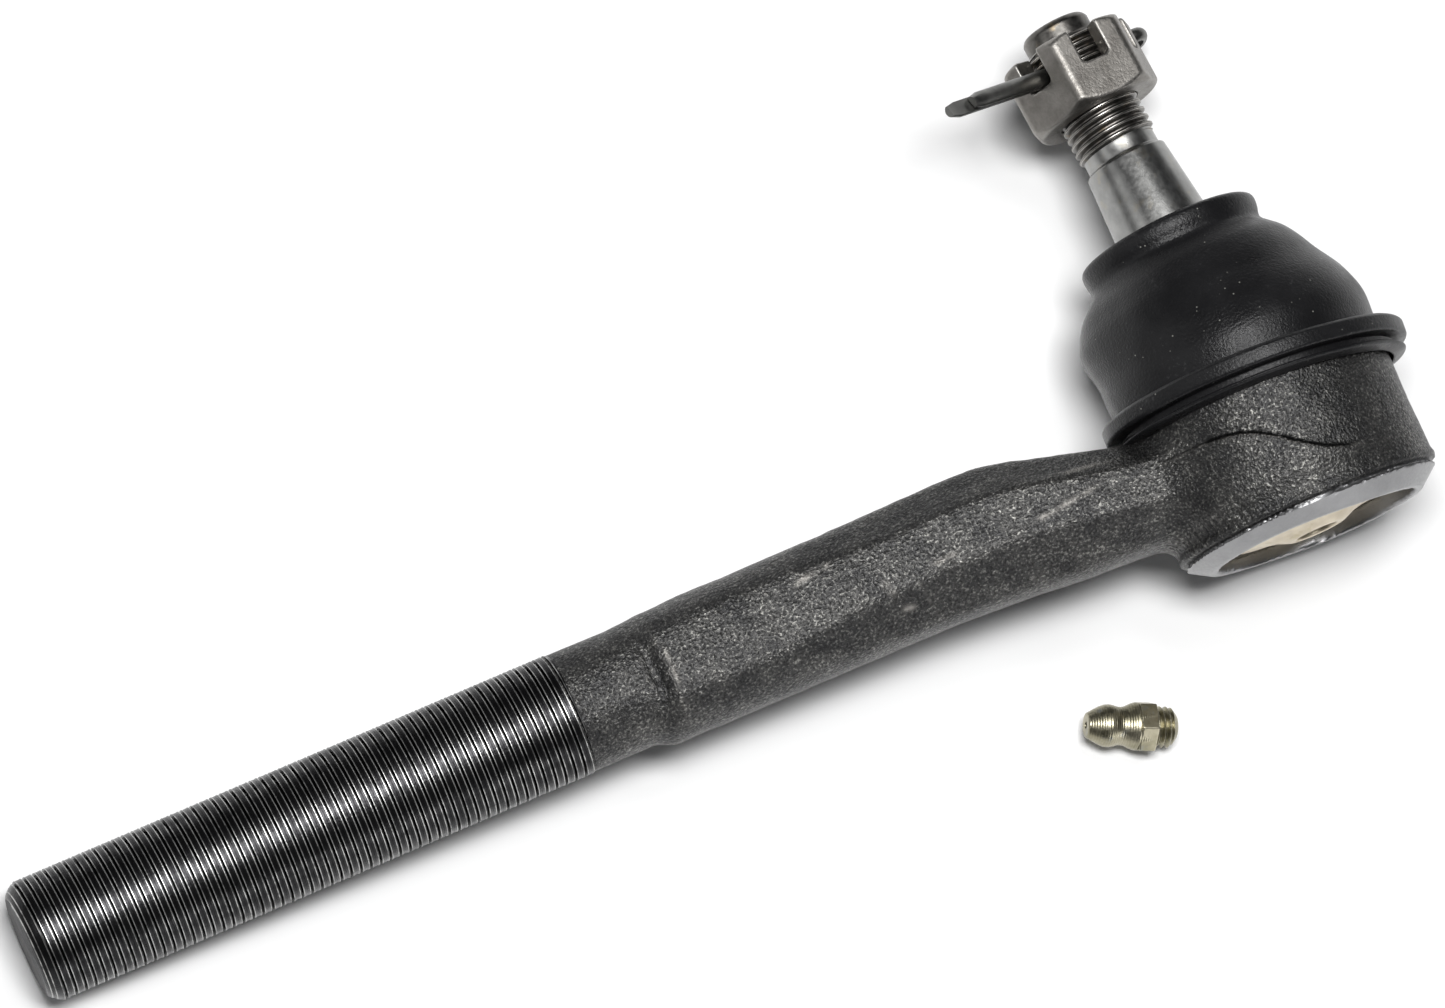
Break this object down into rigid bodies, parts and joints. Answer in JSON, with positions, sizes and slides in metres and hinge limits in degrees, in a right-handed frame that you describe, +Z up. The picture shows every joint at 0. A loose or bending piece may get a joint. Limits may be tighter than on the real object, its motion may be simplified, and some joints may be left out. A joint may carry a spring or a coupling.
{
  "type": "tie rod end",
  "caption": "Outer tie rod end: forged housing with a male threaded shank, tapered ball stud in a rubber dust boot, slotted nut, cotter pin and loose grease fitting.",
  "frame": {"origin": "centre of the ball joint, where the stud axis, the housing axis and the shank axis meet", "axes": "+X along the shank from its threaded end towards the housing, +Y along the housing axis towards the stud, +Z up with the part lying on its side"},
  "size_m": [0.2277, 0.1061, 0.049],
  "materials": {
    "forged_steel": "forged scale, black phosphate on the thread",
    "cover_zinc": "yellow zinc plate, matt",
    "spring_steel": "oiled spring steel",
    "seat_steel": "sintered, matt",
    "sintered_bronze": "sintered, matt",
    "ground_steel": "ground, bright",
    "boot_rubber": "moulded, satin",
    "ring_steel": "plain stamped",
    "nut_steel": "tumbled, bright edges",
    "pin_steel": "oiled wire",
    "fitting_zinc": "olive yellow zinc plate",
    "ball_steel": "polished"
  },
  "bodies": {
    "housing": {"housing": "forged_steel", "cover_plate": "cover_zinc", "preload_spring": "spring_steel"},
    "swing_seat": {"lower_bearing_seat": "seat_steel", "dust_boot": "boot_rubber", "boot_base_ring": "ring_steel"},
    "tilt_bearing": {"half_ball_bearing": "sintered_bronze", "boot_lip_ring": "ring_steel"},
    "stud": {"ball_stud": "ground_steel", "slotted_nut": "nut_steel", "cotter_pin": "pin_steel"},
    "grease_fitting": {"fitting_body": "fitting_zinc", "fitting_spring": "spring_steel"},
    "check_ball": {"fitting_check_ball": "ball_steel"}
  },
  "joints": [
    {"name": "stud_swing", "type": "hinge", "parent": "housing", "child": "swing_seat", "pos_m": [0, 0, 0], "axis": [0, 1, 0], "continuous": true},
    {"name": "stud_tilt", "type": "hinge", "parent": "swing_seat", "child": "tilt_bearing", "pos_m": [0, 0, 0], "axis": [-0.749, 0, 0.6626], "range_deg": [-25.3, 14.6], "deforming": ["dust_boot"]},
    {"name": "stud_spin", "type": "hinge", "parent": "tilt_bearing", "child": "stud", "pos_m": [0, 0, 0], "axis": [-0.0618, 0.9956, -0.0698], "continuous": true},
    {"name": "fitting_lift", "type": "slide", "parent": "housing", "child": "grease_fitting", "axis": [0, 0, 1], "range_m": [0, 0.03]},
    {"name": "check_ball_travel", "type": "slide", "parent": "grease_fitting", "child": "check_ball", "axis": [0.9065, -0.3848, -0.1736], "range_m": [0, 0.0008], "stiffness_N_per_m": 2, "springref_m": -0.001}
  ]
}
